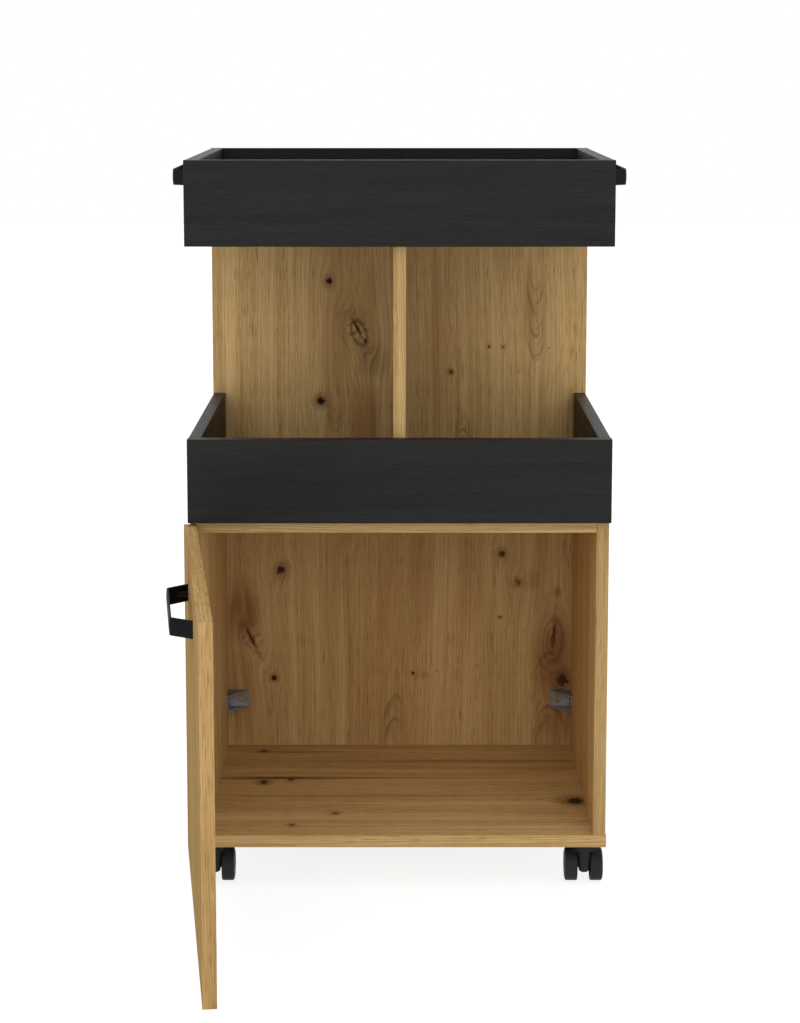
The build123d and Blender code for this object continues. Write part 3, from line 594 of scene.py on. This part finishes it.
back_tints = (
    (-88.0, 640.0, 17.0, 9.0, 0.3),
    (-46.5, 515.0, 20.0, 2.8, 0.65),
    (-40.0, 690.0, 14.0, 3.0, 0.35),
    (52.0, 640.0, 22.0, 7.0, 0.5),
    (176.0, 690.0, 15.0, 6.0, 0.5),
    (-212.0, 255.0, 27.0, 2.2, 0.8),
    (-216.0, 150.0, 24.0, 3.0, 0.45),
    (-20.0, 300.0, 14.0, 7.0, 0.4),
    (32.0, 330.0, 18.0, 7.0, 0.4),
    (92.0, 300.0, 15.0, 8.0, 0.35),
    (212.0, 190.0, 36.0, 2.4, 1.0),
    (220.0, 105.0, 36.0, 1.7, 0.8),
)
# The same for the cabinet's floor: from side to side, from front to back, half width
floor_tints = (
    (-60.0, 281.0, 5.0, 50.0, 0.9),
    (-150.0, 399.0, 6.0, 12.0, 0.9),
    (110.0, 352.0, 9.0, 25.0, 0.6),
    (0.0, 205.0, 9.0, 30.0, 0.4),
    (225.0, 186.0, 26.0, 1.6, 0.5),
)
floor_knots = (
    (-184.3, 401.5, 8.0, 0.8, 0, 0.7, 0.5),
    (-156.0, 280.5, 5.0, 14.0, 0, 0.6, 0.7),
    (-176.3, 263.4, 10.0, 0.8, 0, 0.9, 0.7),
    (-141.8, 276.2, 9.0, 0.7, 0, 0.9, 0.6),
    (-80.5, 136.7, 7.0, 0.8, 0, 0.7, 0.5),
    (-132.0, 90.4, 6.0, 0.8, 0, 0.6, 0.5),
    (222.3, 184.4, 17.0, 0.9, 0, 0.95, 0.8),
)


def upright(rows, face_y):
    """Rows given across and up on a face of the back panel, as the wood's own along and across."""
    return [(up * MM, across * MM + face_y, half * MM, *rest) for across, up, half, *rest in rows]


def level(rows, face_z):
    """Rows given on the cabinet's floor, as the wood's own along and across."""
    return [(x * MM, y * MM + face_z, half * MM, *rest) for x, y, half, *rest in rows]


back_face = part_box("back_panel")[0].y
floor_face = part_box("bottom_panel")[1].z
left_inner_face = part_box("left_side_panel")[1].x
right_inner_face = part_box("right_side_panel")[0].x
flames_up = upright(back_flames, back_face)
# The tones above 1 lighten the back panel, the side panels and the cabinet's floor all over:
# painted light that stands in for light their shaded insides lack
dress("back_panel", oak(
    "back_panel_oak", "ZX", 0.4, knots=upright(back_knots, back_face),
    flames=[(u, v, half, height * MM, steep) for u, v, half, height, steep in flames_up],
    rings=upright(back_rings, back_face), tints=upright(back_tints, back_face),
    # Below the level of 0.47 m its front face gets painted shade
    tone=1.2, painted_shade_below=(0.47, back_face, 0.25),
))
# One brown streak runs up the inside of each side panel
left_streak = (0.25, left_inner_face + 0.24, 0.014, 14.0, 0.5)
right_streak = (0.25, right_inner_face + 0.27, 0.009, 18.0, 0.9)
# The side panels, the divider and the cabinet's floor get painted shade on their edges that look to
# the front or back
dress("left_side_panel", oak(
    "left_side_oak", "ZY", 2.9, tints=[left_streak], tone=1.3, painted_edge_shade=0.33,
))
dress("right_side_panel", oak(
    "right_side_oak", "ZY", 6.1, tints=[right_streak], tone=1.36, painted_edge_shade=0.36,
))
dress("divider_panel", oak("divider_oak", "ZY", 8.4, painted_edge_shade=0.12))
dress("door_panel", oak("door_oak", "ZX", 5.2, turn=DOOR_TURN, about=tuple(pin), sheen=0.0))
dress("bottom_panel", oak(
    "bottom_panel_oak", "XY", 3.6, knots=level(floor_knots, floor_face),
    tints=level(floor_tints, floor_face), tone=1.25, painted_edge_shade=0.16,
))
dress("top_panel", oak("top_panel_oak", "XY", 7.3))
for tray in ("lower", "upper"):
    dress(f"{tray}_tray_front_board", black_oak(f"{tray}_front_black", "XZ", len(tray) * 1.3))
    dress(f"{tray}_tray_floor", black_oak(f"{tray}_floor_black", "XY", len(tray) * 2.9))
    for side in ("left", "right"):
        dress(f"{tray}_tray_{side}_board", black_oak(f"{tray}_{side}_black", "YZ", len(side) * 1.1))
dress("upper_tray_back_board", black_oak("upper_back_black", "XZ", 9.7))

strap_black = moulded_black("strap_black", 8)
castor_black = moulded_black("castor_black", 39)
zinc = plated("zinc_plate", (0.62, 0.62, 0.6), 0.32)
nickel = plated("nickel_plate", (0.66, 0.62, 0.56), 0.24)
bracket_grey = plated("bracket_grey", (0.25, 0.25, 0.26), 0.42, 0.2)
beech = oak("dowel_beech", "XY", 2.2)
for name in nodes:
    if name.endswith("handle"):
        dress(name, strap_black)
    elif "dowels" in name:
        dress(name, beech)
    elif "screws" in name or name.endswith("axle") or name == "hinge_pins":
        dress(name, zinc)
    elif name.endswith("corner_bracket"):
        dress(name, bracket_grey)
    elif "hinge" in name:
        dress(name, nickel)
    elif "castor" in name:
        dress(name, castor_black)


BROKEN_EDGE = 0.5 * MM
SHARP_ABOVE = math.radians(40)


def rounded(name, material, slot):
    """A copy of a node with its sharp edges broken."""
    shape = bmesh.new()
    shape.from_mesh(nodes[name].data)
    body = nodes[name]["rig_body"]
    piece = finished(name + "_rounded", shape, material, body, slot, name)
    trim = piece.modifiers.new("broken_edges", "BEVEL")
    trim.limit_method = "ANGLE"
    trim.angle_limit = SHARP_ABOVE
    trim.width = BROKEN_EDGE
    trim.segments = 2


# Corners this near to a screw's end belong to it
END_BAND = 0.5 * MM


def loose_parts(name):
    """The corners of each separate solid of a node."""
    shape = bmesh.new()
    shape.from_mesh(nodes[name].data)
    bmesh.ops.remove_doubles(shape, verts=shape.verts, dist=WELD)
    seen = set()
    parts = []
    for start in shape.verts:
        if start in seen:
            continue
        part, edge = [], [start]
        seen.add(start)
        while edge:
            vert = edge.pop()
            part.append(vert.co.copy())
            near = [e.other_vert(vert) for e in vert.link_edges]
            edge += [v for v in near if v not in seen]
            seen.update(near)
        parts.append(part)
    shape.free()
    return parts


def screw_axis(corners, frame):
    """Where a screw's head ends, which way it goes in, its length, its two radii and how deep
    its head is. It lies along one of the frame's directions."""
    middle = Vector()
    for way in frame:
        places = [c.dot(way) for c in corners]
        middle += way * (min(places) + max(places)) / 2

    def off_axis(axis, corner):
        return (corner - middle - axis * (corner - middle).dot(axis)).length

    def radius(axis, some):
        return max(off_axis(axis, c) for c in some)

    axis = min(frame, key=lambda way: radius(way, corners))
    reach = max((c - middle).dot(axis) for c in corners)
    front = [c for c in corners if (c - middle).dot(axis) > reach - END_BAND]
    back = [c for c in corners if (c - middle).dot(axis) < END_BAND - reach]
    if radius(axis, front) > radius(axis, back):
        axis, front, back = -axis, back, front
    head = radius(axis, back)
    deep = max((c - middle).dot(axis) for c in corners if off_axis(axis, c) > head * 0.95) + reach
    return middle - axis * reach, axis, 2 * reach, head, radius(axis, front), deep


# A screw's head, as shares of its depth or width: its rim, then the steps of its dome
HEAD_RIM = 0.55
DOME_STEPS = ((0.3, 0.86), (0.15, 0.62))
RECESS_EDGE, RECESS_WAIST, RECESS_DEPTH, RECESS_TAPER = 0.05, 0.4, 0.7, 0.6
# The shank starts just inside the head, and its last part comes to a point
SHANK_START, POINT_SHARE, POINT_TAPER = 0.98, 0.2, 0.3
HEAD_SIDES, SHANK_SIDES = 16, 12


def screw(shape, seat, axis, length, head, shank, deep):
    """A screw with a domed head, a cross recess and a pointed end, made head upwards."""
    made = bmesh.new()
    bmesh.ops.create_circle(made, cap_ends=True, segments=HEAD_SIDES, radius=head)
    made.faces.ensure_lookup_table()
    top = made.faces[0]
    bmesh.ops.transform(made, matrix=Matrix.Translation((0, 0, -deep)), verts=made.verts)
    top = carry(made, top, UP * deep * HEAD_RIM)
    for rise, share in DOME_STEPS:
        top = carry(made, top, UP * deep * rise)
        bmesh.ops.scale(made, vec=(share, share, 1), verts=top.verts)
    bmesh.ops.inset_region(made, faces=[top], thickness=head * RECESS_EDGE)
    for index, vert in enumerate(top.verts):
        if index % 4:
            vert.co.xy *= RECESS_WAIST
    low = carry(made, top, -UP * deep * RECESS_DEPTH)
    bmesh.ops.scale(made, vec=(RECESS_TAPER, RECESS_TAPER, 1), verts=low.verts)
    neck = Matrix.Translation((0, 0, -deep * SHANK_START))
    bmesh.ops.create_circle(
        made, cap_ends=True, segments=SHANK_SIDES, radius=shank, matrix=neck,
    )
    made.faces.ensure_lookup_table()
    under = carry(made, made.faces[-1], -UP * (length - deep) * (1 - POINT_SHARE))
    under = carry(made, under, -UP * (length - deep) * POINT_SHARE)
    bmesh.ops.scale(made, vec=(POINT_TAPER, POINT_TAPER, 1), verts=under.verts)
    turn = (-axis).to_track_quat("Z", "Y").to_matrix().to_4x4()
    bmesh.ops.transform(made, matrix=Matrix.Translation(seat) @ turn, verts=made.verts)
    join(shape, made)


def join(shape, part):
    """Adds one mesh under work to another."""
    carrier = bpy.data.meshes.new("carrier")
    part.to_mesh(carrier)
    part.free()
    shape.from_mesh(carrier)
    bpy.data.meshes.remove(carrier)


for name in list(nodes):
    if name.endswith("_screws"):
        shape = bmesh.new()
        body = nodes[name]["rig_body"]
        for corners in loose_parts(name):
            screw(shape, *screw_axis(corners, door_frame if body == "door" else cart_frame))
        finished(
            name + "_turned", shape, zinc, body, "zinc_steel", name,
            smooth_below=SMOOTH_BELOW_ON_SCREWS,
        )
    elif name.endswith("_corner_bracket"):
        rounded(name, bracket_grey, "bracket_steel")
    elif name.endswith("_castor_body"):
        rounded(name, castor_black, "castor_body")


# Wheels: outline of (radius, place along the axle from the castor's middle), in millimetres
HUB_START = 4.8
WHEEL_STEPS = 72
wheel_outline = (
    (2.05, HUB_START), (4.5, HUB_START), (4.5, 15.9), (16.0, 15.9), (16.0, 7.9), (18.8, 7.9),
    (19.5, 8.1), (19.9, 8.6), (20.0, 9.4), (20.0, 20.9), (19.85, 21.5), (19.3, 22.2), (18.2, 22.8),
    (16.8, 23.1), (15.2, 23.1), (15.0, 22.7), (14.4, 22.7), (14.2, 23.1), (5.2, 23.1), (4.9, 22.8),
    (0.0, 22.8), (0.0, 20.4), (2.05, 20.4),
)
for name in list(nodes):
    if name.endswith("_wheel"):
        low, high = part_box(name)
        way = 1 if "right_wheel" in name else -1
        castor_middle = (low.x if way > 0 else high.x) - way * HUB_START * MM
        shape = bmesh.new()
        axis_at = (castor_middle, (low.y + high.y) / 2, (low.z + high.z) / 2)
        outline = [(r * MM, way * x * MM) for r, x in wheel_outline]
        turned(shape, outline, axis_at, WHEEL_STEPS)
        body = nodes[name]["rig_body"]
        finished(name + "_turned", shape, castor_black, body, "castor_wheel", name)


# Strap handles: a flat strap bent to a low bow, crowned outside, with two screw bosses.
# In their own frame X runs along the handle, Y across it and Z out of the board.
GRIP, FOOT, REACH, STRAP, THICK, BEND = (v * MM for v in (70.0, 90.0, 26.6, 19.4, 3.0, 6.0))
BOSS_AT, BOSS = 80.0 * MM, 3.4 * MM
# How far the crown rises, how wide and deep the inner edges are broken, and how far the ends
# run on into the board before they are cut flush
CROWN, CHAMFER_WIDE, CHAMFER_DEEP, RUN_ON = 0.75 * MM, 0.35 * MM, 0.28 * MM, 2.0 * MM
CROWN_STEPS, BEND_STEPS, BOSS_SIDES = 8, 8, 24


def strap_section():
    """Outline of the strap: across it, and out from its middle line."""
    half, middle = STRAP / 2, THICK / 2
    section = [
        (half, -middle + CHAMFER_DEEP), (half - CHAMFER_WIDE, -middle),
        (-half + CHAMFER_WIDE, -middle), (-half, -middle + CHAMFER_DEEP),
    ]
    for step in range(CROWN_STEPS + 1):
        across = -half + step * STRAP / CROWN_STEPS
        section.append((across, middle - CROWN * (across / half) ** 2))
    return section


def strap_handle(name, body, place):
    """A handle and its bosses, as one piece, at a place given as a matrix."""
    shape = bmesh.new()
    middle = THICK / 2
    lean = math.atan2(REACH - middle, FOOT - GRIP)
    start = Vector((-FOOT, 0, 0))
    rise = Vector((math.cos(lean), 0, math.sin(lean)))
    out = Vector((-math.sin(lean), 0, math.cos(lean)))
    begin = start - rise * RUN_ON
    points = [begin + Vector((0, side, 0)) + out * height for side, height in strap_section()]
    end = ring_of(shape, points)
    # A second face closes the start, because carry takes the first one with it
    ring_of(shape, list(reversed(points)))
    bmesh.ops.remove_doubles(shape, verts=shape.verts, dist=TOUCH)
    cut = BEND * math.tan(lean / 2)
    leg = (REACH - middle) / math.sin(lean) - cut
    straight = Vector((2 * (GRIP - cut), 0, 0))
    centre = start + rise * leg - out * BEND
    end = carry(shape, end, rise * (leg + RUN_ON))
    end = bend(shape, end, centre, (0, 1, 0), lean, BEND_STEPS)
    end = carry(shape, end, straight)
    end = bend(shape, end, centre + straight, (0, 1, 0), lean, BEND_STEPS)
    carry(shape, end, Vector((rise.x, 0, -rise.z)) * (leg + RUN_ON))
    cut_off(shape, (0, 0, 0), (0, 0, -1))
    for side in (-1, 1):
        boss = bmesh.new()
        bmesh.ops.create_cone(
            boss, cap_ends=True, segments=BOSS_SIDES, radius1=BOSS, radius2=BOSS, depth=REACH,
            matrix=Matrix.Translation((side * BOSS_AT, 0, REACH / 2)),
        )
        # A boss ends inside the strap, along its sloping middle
        cut_off(boss, (side * FOOT, 0, 0), (side * math.sin(lean), 0, math.cos(lean)))
        join(shape, boss)
    bmesh.ops.transform(shape, matrix=place, verts=shape.verts)
    finished(name + "_strap", shape, strap_black, body, "black_strap", name)


def handle_seat(along, out, at):
    """Where a handle goes, from the way it runs, the way it stands out and its middle."""
    across = out.cross(along)
    return Matrix.Translation(at) @ Matrix((along, across, out)).transposed().to_4x4()


for side, sign in (("left", -1), ("right", 1)):
    low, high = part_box(f"{side}_tray_handle")
    foot_x = high.x if sign < 0 else low.x
    middle = (foot_x, (low.y + high.y) / 2, (low.z + high.z) / 2)
    seat = handle_seat(Vector((0, 1, 0)), Vector((sign, 0, 0)), middle)
    strap_handle(f"{side}_tray_handle", "cabinet", seat)
low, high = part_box("door_handle")
# The handle's feet touch the door's skin at the box's near corner
door_centre = (low + high) / 2 - door_out * REACH / 2
strap_handle("door_handle", "door", handle_seat(door_along, door_out, door_centre))

# Floor and room. What the camera, a reflection or glass sees of them is white, and the cart
# is lit by a floor and a room of their own strengths.
SEEN_BY = ("Camera", "Glossy", "Transmission")
FLOOR_HALF = 12.0
FLOOR_LIGHTING, FLOOR_SEEN, FLOOR_GLOW = (0.82, 0.82, 0.82), (0.3, 0.3, 0.3), 0.84
ROOM_SEEN, ROOM_GLOW, ROOM_SIDE_LOSS = 1.0, 1.22, 0.95

white = Finish("floor_white")
seen = white.rays(*SEEN_BY)
white.set(
    base_color=white.mix(seen, FLOOR_LIGHTING, FLOOR_SEEN), roughness=0.9,
    specular_ior_level=0.0, emission_color=(1.0, 1.0, 1.0),
)
white.tree.links.new((seen * FLOOR_GLOW).socket, white.shader.inputs["Emission Strength"])
shape = bmesh.new()
bmesh.ops.create_grid(shape, x_segments=1, y_segments=1, size=FLOOR_HALF)
as_object("floor", shape, white.material)

world = bpy.data.worlds.new("white_room")
bpy.context.scene.world = world
world.use_nodes = True
room = Shading(world.node_tree)
seen = room.rays(*SEEN_BY)
sideways = room.split(room.read(room.coordinates, "Generated"))[0]
glow = ROOM_GLOW - sideways * sideways * ROOM_SIDE_LOSS
background = world.node_tree.nodes["Background"]
background.inputs["Color"].default_value = (1.0, 1.0, 1.0, 1.0)
strength = glow + (ROOM_SEEN - glow) * seen
world.node_tree.links.new(strength.socket, background.inputs["Strength"])

# One large soft lamp in front
LIGHT_SIZE, LIGHT_POWER = 2.6, 34.0
LIGHT_AT, LIGHT_TARGET = Vector((0.1, -3.4, 0.75)), Vector((0, 0, 0.5))
lamp = bpy.data.lights.new("front_light", "AREA")
lamp.size = LIGHT_SIZE
lamp.energy = LIGHT_POWER
holder = bpy.data.objects.new("front_light", lamp)
holder.location = LIGHT_AT
holder.rotation_euler = (LIGHT_TARGET - LIGHT_AT).to_track_quat("-Z", "Y").to_euler()
# The boards and castors reflect the white room alone
holder.visible_glossy = False
bpy.context.scene.collection.objects.link(holder)

# Camera: the photograph's view, in its own 800 by 1023 frame
PHOTO_WIDTH = 800
PHOTO_HEIGHT = 1023
FOCAL_PX = 2321.75
PRINCIPAL_X_PX = 399.58
PRINCIPAL_Y_PX = 393.22
CAMERA_TILT = math.radians(8.004)
CAMERA_HEIGHT = 0.99024
CAMERA_DISTANCE = 2.68989
SENSOR_MM = 36.0
front_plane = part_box("upper_tray_front_board")[0].y
camera = bpy.data.cameras.new("photo_camera")
camera.sensor_fit = "AUTO"
camera.sensor_width = SENSOR_MM
camera.lens = FOCAL_PX * SENSOR_MM / PHOTO_HEIGHT
camera.shift_x = (PHOTO_WIDTH / 2 - PRINCIPAL_X_PX) / PHOTO_HEIGHT
camera.shift_y = (PRINCIPAL_Y_PX - PHOTO_HEIGHT / 2) / PHOTO_HEIGHT
holder = bpy.data.objects.new("photo_camera", camera)
holder.location = (0, front_plane - CAMERA_DISTANCE, CAMERA_HEIGHT)
holder.rotation_euler = (math.radians(90) - CAMERA_TILT, 0, 0)
bpy.context.scene.collection.objects.link(holder)
bpy.context.scene.camera = holder
bpy.context.scene.view_settings.view_transform = "Standard"
